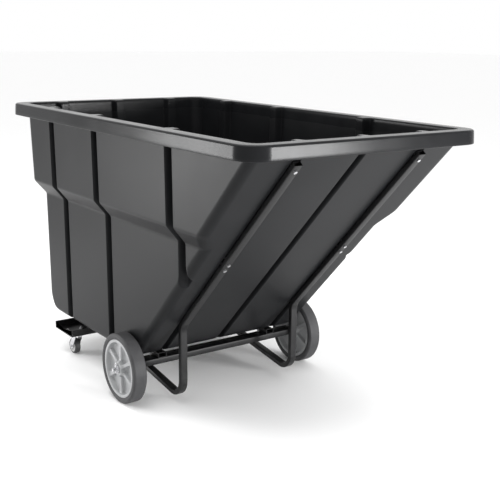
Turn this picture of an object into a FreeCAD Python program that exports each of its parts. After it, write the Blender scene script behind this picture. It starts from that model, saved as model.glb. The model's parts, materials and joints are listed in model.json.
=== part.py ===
"""Plastic tilt truck: a moulded hopper on a bent-tube frame with two big wheels and two casters.

Origin on the floor under the middle of the rim, +X towards the dump lip, +Y left, +Z up, in mm.
"""
import FreeCAD
import Part
import math
import os

V = FreeCAD.Vector

# ---- hopper -------------------------------------------------------------------------------
RIM_LENGTH = 2000.0        # over the rolled rim, along X
RIM_WIDTH = 1090.0         # over the rolled rim, along Y
RIM_TOP = 1212.0           # height of the rim above the floor
RIM_SKIRT = 54.0           # depth of the rolled edge
RIM_CORNER_R = 90.0
RIM_EDGE_R = 8.0           # rounding of the rim's top outer edge
WALL_INSET = 57.0          # rim's outer edge to the hopper wall
WALL = 6.5                 # moulded wall thickness
SLOPE_DEG = 45.92          # dump face from the horizontal
SIDE_SHOULDER = 53.0       # how far the side wall steps in at the shoulder
SHOULDER_TOP = RIM_TOP - 367.0
SHOULDER_DROP = 64.0
SIDE_TAPER_UP = 6.0        # taper of the side wall above the shoulder
SIDE_TAPER_LOW = 4.0       # taper of the side wall below the shoulder
REAR_TAPER_UP = 16.0
REAR_SHOULDER = 14.0
REAR_TAPER_LOW = 5.0
REAR_BOTTOM_R = 100.0      # rounding between rear wall and floor
FRONT_BOTTOM_R = 100.0     # rounding between dump face and floor
SIDE_BOTTOM_R = 25.0       # rounding between side wall and floor
REAR_CORNER_R = 55.0
FRONT_CORNER_R = 30.0

# Grooves moulded into the walls; each is a rib on the inside.
GROOVE_HALF = 25.0
GROOVE_BED_HALF = 18.0
GROOVE_DEPTH = 35.0
SIDE_GROOVES = (-0.322 * RIM_LENGTH, -0.1045 * RIM_LENGTH, 0.202 * RIM_LENGTH)
REAR_GROOVE_PITCH = 0.275 * RIM_WIDTH
FACE_GROOVE_HALF = 15.0
FACE_GROOVE_BED_HALF = 11.0
FACE_GROOVE_DEPTH = 25.0   # square to the dump face
FRAME_Y = 0.267 * RIM_WIDTH    # centre of each frame tube, rail and outer face groove

# ---- running gear -------------------------------------------------------------------------
WHEEL_R = 152.4
WHEEL_WIDTH = 63.0
TYRE_HEIGHT = 25.4
TREAD_EDGE_R = 10.0
HUB_RING = 14.0
HUB_RING_WIDTH = 56.0
HUB_BOSS_R = 29.0
HUB_WEB = 7.0
SPOKES = 6
SPOKE_WIDTH = 15.0
AXLE_BACK = 19.6           # axle behind the foot of the dump face
AXLE_R = 7.94
FLOOR_OVER_AXLE = 40.6     # axle centre to the underside of the hopper
BUSH_WALL = 4.5
BUSH_PROUD = 1.0           # bushing beyond each face of the wheel
AXLE_WASHER = 3.0
AXLE_OVER = 24.0           # axle end beyond the wheel's outer face
PIN_OUT = 7.2              # cotter pin beyond the wheel's outer face
PIN_R = 2.0
WHEEL_GAP = 9.0            # hopper's lower wall to the wheel
RUN_GAP = 0.4              # between pieces that turn past each other
SHAFT_GAP = 0.06           # radial clearance of a running shaft
HOLE_GAP = 0.4             # radial clearance of a bolt in its hole

# ---- frame --------------------------------------------------------------------------------
TUBE_W = 33.0
TUBE_T = 21.0
TUBE_WALL = 2.0
CROSS_W = 65.0
CROSS_H = 28.2
CROSS_WALL = 2.3
RAIL_W = 40.0
RAIL_H = 23.0
FOOT_R = 66.0              # centreline radius of the foot bend
FOOT_LIFT = 40.0           # foot bend above the floor
KNEE_R = 70.0              # centreline radius where the dump face run meets the leg
LEG_AHEAD = 178.0          # centreline of the upright leg ahead of the foot of the dump face
JOIN_R = 120.0             # centreline radius where the tube levels out under the rail
STRAP_DROP = 72.0          # rim top to the upper end of the frame tube
STRAP_BOLT_DROP = 94.0     # rim top to the upper bolt of the frame tube
PAD_BOLT_DROPS = (502.0, 529.0)    # rim top to the two bolts half way down
REAR_BOLT_PITCH = 110.0    # between the two bolts through the channel
CHANNEL_FROM_REAR = 305.0  # rim's rear edge to the middle of the channel
CHANNEL_L = 194.0
CHANNEL_H = 33.0
CHANNEL_T = 3.0
CHANNEL_OVER = 17.0        # channel end beyond the hopper's lower wall
RISE_GAP = 24.0            # level run of the tube ahead of the channel

# ---- casters ------------------------------------------------------------------------------
CASTER_R = 38.0
CASTER_WIDTH = 28.0
CASTER_TRAIL = 26.0
CASTER_AHEAD = 23.0        # kingpin ahead of the middle of the channel
CASTER_FROM_END = 57.0     # kingpin to the end of the channel
CASTER_BOLT_R = 3.5
CASTER_PLATE_T = 4.0
CASTER_PLATE_X = 70.0
CASTER_PLATE_Y = 94.0
RACE_R = 29.0
RACE_H = 4.0
FORK_T = 3.0
FORK_SIDE_GAP = 2.0
KINGPIN_R = 6.0
CASTER_AXLE_R = 4.0
CASTER_TREAD = 9.0

# ---- fasteners ----------------------------------------------------------------------------
BOLT_R = 4.0
BOLT_HEX = 13.0            # across flats
BOLT_HEAD = 5.3
NUT_H = 6.5
WASHER_R = 9.0
WASHER_T = 1.6

# ---- derived ------------------------------------------------------------------------------
SLOPE = math.radians(SLOPE_DEG)
FACE_X = RIM_LENGTH / 2 - WALL_INSET - 7.0         # dump face where it meets the rim's underside
FACE_Z = RIM_TOP - RIM_SKIRT + 2.0
FACE_N = V(math.sin(SLOPE), 0, -math.cos(SLOPE))   # outward normal of the dump face
FACE_UP = V(math.cos(SLOPE), 0, math.sin(SLOPE))   # up along the dump face
FLOOR_Z = WHEEL_R + FLOOR_OVER_AXLE
FLOOR_TIP = FACE_X - (FACE_Z - FLOOR_Z) / math.tan(SLOPE)
FRONT_TANGENT = FLOOR_TIP - FRONT_BOTTOM_R * math.tan(SLOPE / 2)
SHOULDER_LOW = SHOULDER_TOP - SHOULDER_DROP
HALF_TOP = RIM_WIDTH / 2 - WALL_INSET
HALF_LOW = HALF_TOP - SIDE_TAPER_UP - SIDE_SHOULDER - SIDE_TAPER_LOW
REAR_TOP = -RIM_LENGTH / 2 + WALL_INSET
RAIL_Z = FLOOR_Z - RAIL_H
TUBE_REAR_Z = RAIL_Z - TUBE_T / 2
CHANNEL_Z = RAIL_Z - TUBE_T - CHANNEL_H
CROSS_Z = RAIL_Z - CROSS_H
AXLE_X = FLOOR_TIP - AXLE_BACK
CROSS_X = AXLE_X - 7.5
LEG_X = FLOOR_TIP + LEG_AHEAD
CHANNEL_X = -RIM_LENGTH / 2 + CHANNEL_FROM_REAR
WHEEL_Y = HALF_LOW + WHEEL_GAP + WHEEL_WIDTH / 2
CROSS_HALF = WHEEL_Y - WHEEL_WIDTH / 2 - BUSH_PROUD - RUN_GAP - AXLE_WASHER - 0.1
CHANNEL_HALF = HALF_LOW + CHANNEL_OVER
CASTER_X = CHANNEL_X + CASTER_AHEAD
CASTER_Y = CHANNEL_HALF - CASTER_FROM_END
CASTER_PLATE_Z = CHANNEL_Z - CASTER_PLATE_T
CROWN_TOP = CASTER_PLATE_Z - 2 * RACE_H - RUN_GAP
STRAP_Z = RIM_TOP - STRAP_BOLT_DROP
PAD_HEIGHTS = tuple(RIM_TOP - drop for drop in PAD_BOLT_DROPS)
FRONT_BOLT_X = CROSS_X - CROSS_W / 2 + 10.0
FRONT_BOLT_Y = FACE_GROOVE_HALF + 15.0     # clear of the face groove's rib, either side
REAR_BOLT_XS = (CHANNEL_X + REAR_BOLT_PITCH / 2, CHANNEL_X - REAR_BOLT_PITCH / 2)


def ramp(z, marks):
    """Value at height z on a run of (height, value) marks, straight between them."""
    if z <= marks[0][0]:
        return marks[0][1]
    for (z0, a), (z1, b) in zip(marks, marks[1:]):
        if z <= z1:
            return a + (b - a) * (z - z0) / (z1 - z0)
    return marks[-1][1]


def fillet_in(height, radius):
    """How far a bottom rounding stands in from the wall at a height above the floor."""
    if height >= radius:
        return 0.0
    return radius - math.sqrt(radius ** 2 - (radius - height) ** 2)


def side_y(z, skin):
    """Half width of the hopper at height z, skin mm inside the outer surface."""
    marks = ((FLOOR_Z, HALF_LOW),
             (SHOULDER_LOW, HALF_LOW + SIDE_TAPER_LOW),
             (SHOULDER_TOP, HALF_TOP - SIDE_TAPER_UP),
             (RIM_TOP, HALF_TOP))
    rise = z - FLOOR_Z - skin
    return ramp(z, marks) - skin - fillet_in(rise, SIDE_BOTTOM_R - skin)


def rear_x(z, skin):
    """Rear wall at height z."""
    low = REAR_TOP + REAR_TAPER_UP + REAR_SHOULDER + REAR_TAPER_LOW
    marks = ((FLOOR_Z, low),
             (SHOULDER_LOW, low - REAR_TAPER_LOW),
             (SHOULDER_TOP, REAR_TOP + REAR_TAPER_UP),
             (RIM_TOP, REAR_TOP))
    rise = z - FLOOR_Z - skin
    return ramp(z, marks) + skin + fillet_in(rise, REAR_BOTTOM_R - skin)


def front_x(z, skin):
    """Dump face at height z: floor rounding, slope, then upright at the rim."""
    radius = FRONT_BOTTOM_R - skin
    rise = z - FLOOR_Z - skin
    if rise < radius * (1 - math.cos(SLOPE)):
        return FRONT_TANGENT + math.sqrt(radius ** 2 - (radius - rise) ** 2)
    x = FACE_X - (FACE_Z - z) / math.tan(SLOPE) - skin / math.sin(SLOPE)
    return min(x, RIM_LENGTH / 2 - WALL_INSET - skin)


def groove(centre, half, bed, depth, skin, limit=None):
    """Four points across one groove as (position along the wall, depth into the wall)."""
    slant = (half - bed) / depth
    grow = skin * (math.sqrt(1 + slant ** 2) - slant)
    lip = half + grow
    inner = bed + grow
    start = centre - lip
    end = centre + lip
    if limit is not None:
        end = min(end, limit)
        start = min(start, end - 8.0)
    share = (end - start - 8.0) / (2 * lip - 8.0)
    side = (lip - inner) * (end - start) / (2 * lip)
    return [(start, 0.0), (start + side, depth * share), (end - side, depth * share), (end, 0.0)]


def arc(a, b, corner):
    """Arc-like edge from a to b that bows towards the corner."""
    middle = (a + b) * 0.5
    return Part.Arc(a, middle + (corner - middle) * 0.414, b).toShape()


def outline(z, skin):
    """Closed plan outline of the hopper at height z, the same count of edges at every height."""
    y = side_y(z, skin)
    back = rear_x(z, skin)
    front = front_x(z, skin)
    rear_r = REAR_CORNER_R - skin
    front_r = FRONT_CORNER_R - skin
    front_rx = front_r / math.sin(SLOPE)
    face_depth = FACE_GROOVE_DEPTH / math.sin(SLOPE)
    along = [(back + rear_r, 0.0)]
    for x in SIDE_GROOVES:
        along += groove(x, GROOVE_HALF, GROOVE_BED_HALF, GROOVE_DEPTH, skin, front - front_rx - 2)
    along.append((front - front_rx, 0.0))
    right = [V(x, -y + d, z) for x, d in along]
    left = [V(x, y - d, z) for x, d in reversed(along)]
    across = [(-y + front_r, 0.0)]
    for centre in (-FRAME_Y, 0.0, FRAME_Y):
        across += groove(centre, FACE_GROOVE_HALF, FACE_GROOVE_BED_HALF, face_depth, skin)
    across.append((y - front_r, 0.0))
    face = [V(front - d, p, z) for p, d in across]
    behind = [(-y + rear_r, 0.0)]
    for centre in (-REAR_GROOVE_PITCH, 0.0, REAR_GROOVE_PITCH):
        behind += groove(centre, GROOVE_HALF, GROOVE_BED_HALF, GROOVE_DEPTH, skin)
    behind.append((y - rear_r, 0.0))
    rear = [V(back + d, p, z) for p, d in reversed(behind)]
    edges = []
    for points in (right, face, left, rear):
        edges.append([Part.makeLine(a, b) for a, b in zip(points, points[1:])])
    corners = [arc(right[-1], face[0], V(front, -y, z)),
               arc(face[-1], left[0], V(front, y, z)),
               arc(left[-1], rear[0], V(back, y, z)),
               arc(rear[-1], right[0], V(back, -y, z))]
    run = []
    for straight, corner in zip(edges, corners):
        run += straight + [corner]
    return Part.Wire(run)


def hopper_body(skin, top):
    """Solid inside the hopper's outer surface (skin 0) or its inner surface (skin = wall)."""
    base = FLOOR_Z + skin
    rises = [0.0, 3.0, 10.0, SIDE_BOTTOM_R - skin, 48.0, REAR_BOTTOM_R - skin]
    heights = [base + r for r in rises]
    reach = FRONT_CORNER_R / math.sin(SLOPE) + 2.0
    for x in (SIDE_GROOVES[2] - GROOVE_HALF + 8.0, SIDE_GROOVES[2] + GROOVE_HALF + 8.0):
        heights.append(FACE_Z - (FACE_X - x - reach) * math.tan(SLOPE))
    heights += [SHOULDER_LOW, SHOULDER_TOP, FACE_Z + (WALL_INSET - 50.0) * math.tan(SLOPE), top]
    wires = [outline(z, skin) for z in sorted(heights)]
    return Part.makeLoft(wires, True, True)


def rounded_block(length, width, radius, z0, z1, top_r):
    """Upright block with rounded corners and a rounded top edge."""
    block = Part.makeBox(length, width, z1 - z0, V(-length / 2, -width / 2, z0))
    upright = [e for e in block.Edges if abs(e.Vertexes[0].Z - e.Vertexes[1].Z) > 1]
    block = block.makeFillet(radius, upright)
    if top_r > 0:
        block = block.makeFillet(top_r, [e for e in block.Edges if e.BoundBox.ZMin > z1 - 0.01])
    return block


def rod(start, direction, radius, length):
    """Round bar from a point along a direction."""
    return Part.makeCylinder(radius, length, start, direction)


def ring(start, direction, outer, inner, length):
    """Round tube from a point along a direction."""
    bore = rod(start - direction * 1.0, direction, inner, length + 2.0)
    return rod(start, direction, outer, length).cut(bore)


def hexagon(start, direction, flats, length):
    """Hexagonal prism from a point along a direction."""
    side = direction.cross(V(0, 1, 0))
    if side.Length < 0.1:
        side = V(1, 0, 0)
    side.normalize()
    other = direction.cross(side)
    points = []
    for k in range(7):
        a = math.radians(60 * k)
        points.append(start + (side * math.cos(a) + other * math.sin(a)) * (flats / math.sqrt(3)))
    return Part.Face(Part.makePolygon(points)).extrude(direction * length)


def bolt(seat, direction, grip, radius=BOLT_R, flats=BOLT_HEX, head=BOLT_HEAD):
    """Hex bolt: the head sits on seat, the shank runs along direction for its grip."""
    shank = rod(seat, direction, radius, grip)
    return hexagon(seat - direction * head, direction, flats, head).fuse(shank).removeSplitter()


def nut(seat, direction, radius=BOLT_R, flats=BOLT_HEX, height=NUT_H):
    """Hex nut that sits on seat and stands along direction, with its washer."""
    body = hexagon(seat + direction * WASHER_T, direction, flats, height)
    body = body.fuse(rod(seat, direction, WASHER_R, WASHER_T))
    bore = rod(seat - direction, direction, radius + 0.1, height + WASHER_T + 2)
    return body.cut(bore).removeSplitter()


def both_sides(make):
    """The right-hand and left-hand copies of a piece, as a list of shapes."""
    return [make(-1.0), make(1.0)]


def cut_all(shape, tools):
    """Shape with every tool cut out of it."""
    for tool in tools:
        shape = shape.cut(tool)
    return shape


def face_point(z, y, out):
    """Point on the dump face at height z, moved out along the face's normal."""
    return V(FACE_X - (FACE_Z - z) / math.tan(SLOPE), y, z) + FACE_N * out


def face_bolt_seats():
    """Outer seats of the bolts that hold each frame tube to the dump face."""
    strap = both_sides(lambda s: face_point(STRAP_Z, s * FRAME_Y, TUBE_T))
    pads = []
    for z in PAD_HEIGHTS:
        pads += both_sides(lambda s: face_point(z, s * FRAME_Y, TUBE_T))
    return strap, pads


def floor_bolt_spots():
    """(x, y, z of the lowest face) of each bolt through the hopper floor."""
    spots = []
    for s in (-1.0, 1.0):
        for dy in (-FRONT_BOLT_Y, FRONT_BOLT_Y):
            spots.append((FRONT_BOLT_X, s * (FRAME_Y + dy), CROSS_Z))
        for x in REAR_BOLT_XS:
            spots.append((x, s * FRAME_Y, CHANNEL_Z))
    return spots


def floor_holes():
    """Cutting rods for the floor bolts."""
    return [rod(V(x, y, z - 5), V(0, 0, 1), BOLT_R + HOLE_GAP, FLOOR_Z - z + 40)
            for x, y, z in floor_bolt_spots()]


def face_holes():
    """Cutting rods for the bolts through frame tube and dump face."""
    strap, pads = face_bolt_seats()
    length = TUBE_T + FACE_GROOVE_DEPTH + WALL + 20
    return [rod(p + FACE_N * 10, FACE_N * -1, BOLT_R + HOLE_GAP, length) for p in strap + pads]


def make_tub():
    """Hopper: outer body plus rolled rim, hollowed, with the bolt holes."""
    rim = rounded_block(RIM_LENGTH, RIM_WIDTH, RIM_CORNER_R,
                        RIM_TOP - RIM_SKIRT, RIM_TOP, RIM_EDGE_R)
    under = rounded_block(RIM_LENGTH - 2 * WALL, RIM_WIDTH - 2 * WALL, RIM_CORNER_R - WALL,
                          RIM_TOP - RIM_SKIRT - 1, RIM_TOP - WALL, RIM_EDGE_R - WALL)
    shell = hopper_body(0.0, RIM_TOP - WALL / 2).fuse(rim.cut(under))
    hollow = hopper_body(WALL, RIM_TOP + 1.0)
    return cut_all(shell.cut(hollow), floor_holes() + face_holes())


def tube_path():
    """Centreline points and bends of one frame tube in the XZ plane."""
    off = TUBE_T / 2
    top_z = RIM_TOP - STRAP_DROP
    top = face_point(top_z, 0, off)
    knee_z = top.z - (top.x - LEG_X) * math.tan(SLOPE)
    knee = V(LEG_X, 0, knee_z)
    foot_z = FOOT_LIFT + TUBE_T / 2 + FOOT_R
    centre = V(LEG_X - FOOT_R, 0, foot_z)
    join = V(CHANNEL_X + CHANNEL_L / 2 + RISE_GAP, 0, TUBE_REAR_Z)
    reach = join - centre
    span = math.hypot(reach.x, reach.z)
    lift = math.atan2(reach.z, -reach.x)
    tilt = lift + math.asin(FOOT_R / span)
    leave = centre + V(-math.sin(tilt), 0, -math.cos(tilt)) * FOOT_R
    low = centre - V(0, 0, FOOT_R)
    return top, knee, centre, leave, low, join


def bend(before, corner, after, radius):
    """Tangent points and middle point of a bend of a given radius at a corner."""
    u = (before - corner).normalize()
    w = (after - corner).normalize()
    half = math.acos(max(-1.0, min(1.0, u.dot(w)))) / 2
    setback = radius / math.tan(half)
    bisector = (u + w).normalize()
    centre = corner + bisector * (radius / math.sin(half))
    return corner + u * setback, centre - bisector * radius, corner + w * setback


def frame_tube(side):
    """One bent rectangular tube from the rim down the dump face, round the foot, to the rear."""
    top, knee, centre, leave, low, join = tube_path()
    end = V(CHANNEL_X - CHANNEL_L / 2, 0, TUBE_REAR_Z)
    k0, km, k1 = bend(top, knee, V(LEG_X, 0, centre.z), KNEE_R)
    j0, jm, j1 = bend(leave, join, end, JOIN_R)
    foot_start = V(LEG_X, 0, centre.z)
    edges = [Part.makeLine(top, k0), Part.Arc(k0, km, k1).toShape(),
             Part.makeLine(k1, foot_start), Part.Arc(foot_start, low, leave).toShape(),
             Part.makeLine(leave, j0), Part.Arc(j0, jm, j1).toShape(), Part.makeLine(j1, end)]
    path = Part.Wire(edges)

    def swept(width, thick):
        along = FACE_N * (thick / 2)
        across = V(0, width / 2, 0)
        points = [top + along + across, top + along - across,
                  top - along - across, top - along + across]
        profile = Part.makePolygon(points + points[:1])
        return path.makePipeShell([profile], True, False)

    inner = swept(TUBE_W - 2 * TUBE_WALL, TUBE_T - 2 * TUBE_WALL)
    tube = swept(TUBE_W, TUBE_T).cut(inner)
    tube.translate(V(0, side * FRAME_Y, 0))
    return cut_all(tube, floor_holes() + face_holes())


def box_tube(x0, x1, y0, y1, z0, z1, wall, along):
    """Square-cornered box tube that is open along X or Y."""
    outer = Part.makeBox(x1 - x0, y1 - y0, z1 - z0, V(x0, y0, z0))
    wx = -5.0 if along == "x" else wall
    wy = -5.0 if along == "y" else wall
    inner = Part.makeBox(x1 - x0 - 2 * wx, y1 - y0 - 2 * wy, z1 - z0 - 2 * wall,
                         V(x0 + wx, y0 + wy, z0 + wall))
    return outer.cut(inner)


def make_cross_tube():
    """Axle tube with end plates that carry the axle."""
    x0 = CROSS_X - CROSS_W / 2
    tube = box_tube(x0, x0 + CROSS_W, -CROSS_HALF, CROSS_HALF,
                    CROSS_Z, CROSS_Z + CROSS_H, CROSS_WALL, "y")
    for s in (-1.0, 1.0):
        y = s * (CROSS_HALF - 3.0) - 3.0
        plate = Part.makeBox(CROSS_W - 2 * CROSS_WALL, 6.0, CROSS_H - 2 * CROSS_WALL,
                             V(x0 + CROSS_WALL, y, CROSS_Z + CROSS_WALL))
        tube = tube.fuse(plate)
    axle_hole = rod(V(AXLE_X, -CROSS_HALF - 5, WHEEL_R), V(0, 1, 0),
                    AXLE_R + SHAFT_GAP, 2 * CROSS_HALF + 10)
    return cut_all(tube.removeSplitter(), [axle_hole] + floor_holes())


def make_rail(side):
    """Flat tube under the hopper floor."""
    x0 = CHANNEL_X - CHANNEL_L / 2
    x1 = CROSS_X + CROSS_W / 2
    y = side * FRAME_Y
    rail = box_tube(x0, x1, y - RAIL_W / 2, y + RAIL_W / 2, RAIL_Z, FLOOR_Z, TUBE_WALL, "x")
    return cut_all(rail, floor_holes())


def caster_bolt_spots():
    """(x, y) of the bolts that hold both casters."""
    spots = []
    for s in (-1.0, 1.0):
        for dx in (-0.37 * CASTER_PLATE_X, 0.37 * CASTER_PLATE_X):
            for dy in (-0.38 * CASTER_PLATE_Y, 0.38 * CASTER_PLATE_Y):
                spots.append((CASTER_X + dx, s * CASTER_Y + dy))
    return spots


def caster_bolt_holes():
    """Cutting rods for the caster bolts."""
    return [rod(V(x, y, CASTER_PLATE_Z - 5), V(0, 0, 1), CASTER_BOLT_R + HOLE_GAP, 30)
            for x, y in caster_bolt_spots()]


def make_channel():
    """Rear cross channel with its flanges up."""
    x0 = CHANNEL_X - CHANNEL_L / 2
    block = Part.makeBox(CHANNEL_L, 2 * CHANNEL_HALF, CHANNEL_H, V(x0, -CHANNEL_HALF, CHANNEL_Z))
    trough = Part.makeBox(CHANNEL_L - 2 * CHANNEL_T, 2 * CHANNEL_HALF + 10, CHANNEL_H,
                          V(x0 + CHANNEL_T, -CHANNEL_HALF - 5, CHANNEL_Z + CHANNEL_T))
    return cut_all(block.cut(trough), floor_holes() + caster_bolt_holes())


def axle_end(side, reach):
    """Point on the axle at a distance outside the wheel's outer face."""
    return V(AXLE_X, side * (WHEEL_Y + WHEEL_WIDTH / 2 + reach), WHEEL_R)


def make_axle():
    """Through axle with a cross hole for the cotter pin at each end."""
    half = axle_end(1.0, AXLE_OVER).y
    axle = rod(V(AXLE_X, -half, WHEEL_R), V(0, 1, 0), AXLE_R, 2 * half)
    ends = [e for e in axle.Edges if e.BoundBox.YLength < 0.1 and e.BoundBox.XLength > 1]
    axle = axle.makeChamfer(1.2, ends)
    holes = both_sides(lambda s: rod(axle_end(s, PIN_OUT) - V(0, 0, 20), V(0, 0, 1),
                                     PIN_R + 0.15, 40))
    return cut_all(axle, holes)


def make_hub(side):
    """Cast wheel centre: ring, boss, thin web and spokes on both sides of it."""
    y = side * WHEEL_Y
    axis = V(0, 1, 0)
    seat_r = WHEEL_R - TYRE_HEIGHT
    inner_r = seat_r - HUB_RING
    at = lambda w: V(AXLE_X, y - w / 2, WHEEL_R)
    hub = ring(at(HUB_RING_WIDTH), axis, seat_r, inner_r, HUB_RING_WIDTH)
    hub = hub.fuse(rod(at(WHEEL_WIDTH), axis, HUB_BOSS_R, WHEEL_WIDTH))
    hub = hub.fuse(rod(at(HUB_WEB), axis, inner_r + 1, HUB_WEB))
    depth = HUB_RING_WIDTH - 12.0
    for k in range(SPOKES):
        spoke = Part.makeBox(inner_r + 1 - HUB_BOSS_R / 2, depth, SPOKE_WIDTH,
                             V(HUB_BOSS_R / 2, -depth / 2, -SPOKE_WIDTH / 2))
        spoke.rotate(V(0, 0, 0), axis, 360.0 * k / SPOKES + 30.0)
        spoke.translate(V(AXLE_X, y, WHEEL_R))
        hub = hub.fuse(spoke)
    bore = rod(at(WHEEL_WIDTH + 10), axis, AXLE_R + SHAFT_GAP + BUSH_WALL, WHEEL_WIDTH + 10)
    return hub.removeSplitter().cut(bore)


def make_tyre(side):
    """Rubber tyre around the wheel centre."""
    y = side * WHEEL_Y
    seat_r = WHEEL_R - TYRE_HEIGHT
    start = V(AXLE_X, y - WHEEL_WIDTH / 2, WHEEL_R)
    body = rod(start, V(0, 1, 0), WHEEL_R, WHEEL_WIDTH)
    body = body.makeFillet(TREAD_EDGE_R, [e for e in body.Edges if e.BoundBox.YLength < 0.1])
    return body.cut(rod(start - V(0, 5, 0), V(0, 1, 0), seat_r, WHEEL_WIDTH + 10))


def make_bushing(side):
    """Bore liner that turns on the axle."""
    length = WHEEL_WIDTH + 2 * BUSH_PROUD
    start = V(AXLE_X, side * WHEEL_Y - length / 2, WHEEL_R)
    inner = AXLE_R + SHAFT_GAP
    return ring(start, V(0, 1, 0), inner + BUSH_WALL, inner, length)


def axle_washer(side, reach, thick, radius):
    """Washer on the axle; reach is measured from the wheel's middle outwards."""
    y = side * (WHEEL_Y + reach) - thick / 2
    return ring(V(AXLE_X, y, WHEEL_R), V(0, 1, 0), radius, AXLE_R + 0.2, thick)


def cotter_pin(side):
    """Pin through the axle with a ring head on top."""
    p = axle_end(side, PIN_OUT)
    length = 2 * AXLE_R + 22
    pin = rod(p - V(0, 0, AXLE_R + 11), V(0, 0, 1), PIN_R, length)
    eye = Part.makeTorus(5.0, PIN_R)
    eye.rotate(V(0, 0, 0), V(1, 0, 0), 90)
    eye.rotate(V(0, 0, 0), V(0, 1, 0), 90)
    eye.translate(p + V(0, 0, AXLE_R + 15.0))
    return eye.fuse(pin)


def caster_at(side, dx, z):
    """Point on a caster's swivel plane, dx ahead of the kingpin."""
    return V(CASTER_X + dx, side * CASTER_Y, z)


def caster_plate(side):
    """Top plate with the upper race pressed into it."""
    plate = Part.makeBox(CASTER_PLATE_X, CASTER_PLATE_Y, CASTER_PLATE_T,
                         caster_at(side, -CASTER_PLATE_X / 2, CASTER_PLATE_Z)
                         - V(0, CASTER_PLATE_Y / 2, 0))
    upright = [e for e in plate.Edges if abs(e.Vertexes[0].Z - e.Vertexes[1].Z) > 1]
    plate = plate.makeFillet(8.0, upright)
    race = rod(caster_at(side, 0, CASTER_PLATE_Z - RACE_H), V(0, 0, 1), RACE_R - 4, RACE_H)
    hole = rod(caster_at(side, 0, CASTER_PLATE_Z - 20), V(0, 0, 1), KINGPIN_R + 0.05, 40)
    return cut_all(plate.fuse(race).removeSplitter(), [hole] + caster_bolt_holes())


def caster_race(side):
    """Ball race shield between top plate and fork."""
    start = caster_at(side, 0, CASTER_PLATE_Z - 2 * RACE_H)
    shield = rod(start, V(0, 0, 1), RACE_R, RACE_H)
    edge = [e for e in shield.Edges if e.BoundBox.ZLength < 0.1 and e.BoundBox.XLength > 1]
    shield = shield.makeChamfer(1.0, edge)
    return shield.cut(rod(start - V(0, 0, 5), V(0, 0, 1), KINGPIN_R + 2.0, 20))


def caster_kingpin(side):
    """Riveted pin the fork turns on."""
    low = CROWN_TOP - FORK_T - 1.0 - RUN_GAP
    pin = rod(caster_at(side, 0, low - 4), V(0, 0, 1), KINGPIN_R, CASTER_PLATE_Z + 3 - low + 4)
    return pin.fuse(rod(caster_at(side, 0, low - 4), V(0, 0, 1), KINGPIN_R + 4, 4))


def caster_fork(side):
    """Pressed fork: crown and two cheeks that trail back to the wheel axle."""
    gap = CASTER_WIDTH / 2 + FORK_SIDE_GAP
    crown_t = FORK_T + 1.0
    low = CROWN_TOP - crown_t
    half = 20.0
    crown = rod(V(0, 0, low), V(0, 0, 1), RACE_R - 2, crown_t)
    plate = Part.makeBox(2 * half, 2 * (gap + FORK_T), crown_t, V(-half, -gap - FORK_T, low))
    fork = crown.fuse(plate)
    shape = [(half, CROWN_TOP), (half, low - 6), (-CASTER_TRAIL + 12, CASTER_R - 6),
             (-CASTER_TRAIL + 5, CASTER_R - 12), (-CASTER_TRAIL - 5, CASTER_R - 12),
             (-CASTER_TRAIL - 12, CASTER_R - 6), (-CASTER_TRAIL - 12, CASTER_R + 8),
             (-half, low - 4), (-half, CROWN_TOP)]
    for y in (-gap - FORK_T, gap):
        points = [V(x, y, z) for x, z in shape]
        cheek = Part.Face(Part.makePolygon(points + points[:1])).extrude(V(0, FORK_T, 0))
        fork = fork.fuse(cheek)
    holes = [rod(V(0, 0, low - 10), V(0, 0, 1), KINGPIN_R + SHAFT_GAP, 30),
             rod(V(-CASTER_TRAIL, -40, CASTER_R), V(0, 1, 0), CASTER_AXLE_R + 0.1, 80)]
    fork = cut_all(fork.removeSplitter(), holes)
    fork.translate(caster_at(side, 0, 0))
    return fork


def caster_axle(side):
    """Bolt with its nut through the fork cheeks."""
    gap = CASTER_WIDTH / 2 + FORK_SIDE_GAP + FORK_T
    seat = caster_at(side, -CASTER_TRAIL, CASTER_R) - V(0, gap, 0)
    screw = bolt(seat, V(0, 1, 0), 2 * gap + 7, CASTER_AXLE_R, 11.0, 4.0)
    lock = hexagon(seat + V(0, 2 * gap, 0), V(0, 1, 0), 11.0, 5.0)
    return screw.fuse(lock).removeSplitter()


def caster_core(side):
    """Wheel centre of a caster."""
    axis = V(0, 1, 0)
    hub_w = CASTER_WIDTH + 2 * (FORK_SIDE_GAP - RUN_GAP)
    p = caster_at(side, -CASTER_TRAIL, CASTER_R)
    body = rod(p - axis * (CASTER_WIDTH / 2), axis, CASTER_R - CASTER_TREAD, CASTER_WIDTH)
    body = body.cut(ring(p - axis * (CASTER_WIDTH / 2 + 1), axis, 23.0, 12.0, 7.0))
    body = body.cut(ring(p + axis * (CASTER_WIDTH / 2 - 6), axis, 23.0, 12.0, 7.0))
    body = body.fuse(rod(p - axis * (hub_w / 2), axis, 9.0, hub_w)).removeSplitter()
    return body.cut(rod(p - axis * 40, axis, CASTER_AXLE_R + SHAFT_GAP, 80))


def caster_tread(side):
    """Rubber tread of a caster wheel."""
    p = caster_at(side, -CASTER_TRAIL, CASTER_R) - V(0, CASTER_WIDTH / 2, 0)
    body = rod(p, V(0, 1, 0), CASTER_R, CASTER_WIDTH)
    body = body.makeFillet(5.0, [e for e in body.Edges if e.BoundBox.YLength < 0.1])
    return body.cut(rod(p - V(0, 5, 0), V(0, 1, 0), CASTER_R - CASTER_TREAD, CASTER_WIDTH + 10))


def make_face_bolts(seats):
    """Bolts from the frame tube through the dump face, and their nuts inside the hopper."""
    reach = TUBE_T + FACE_GROOVE_DEPTH + WALL
    bolts = [bolt(p, FACE_N * -1, reach + NUT_H + WASHER_T + 3) for p in seats]
    nuts = [nut(p - FACE_N * reach, FACE_N * -1) for p in seats]
    return bolts, nuts


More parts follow.
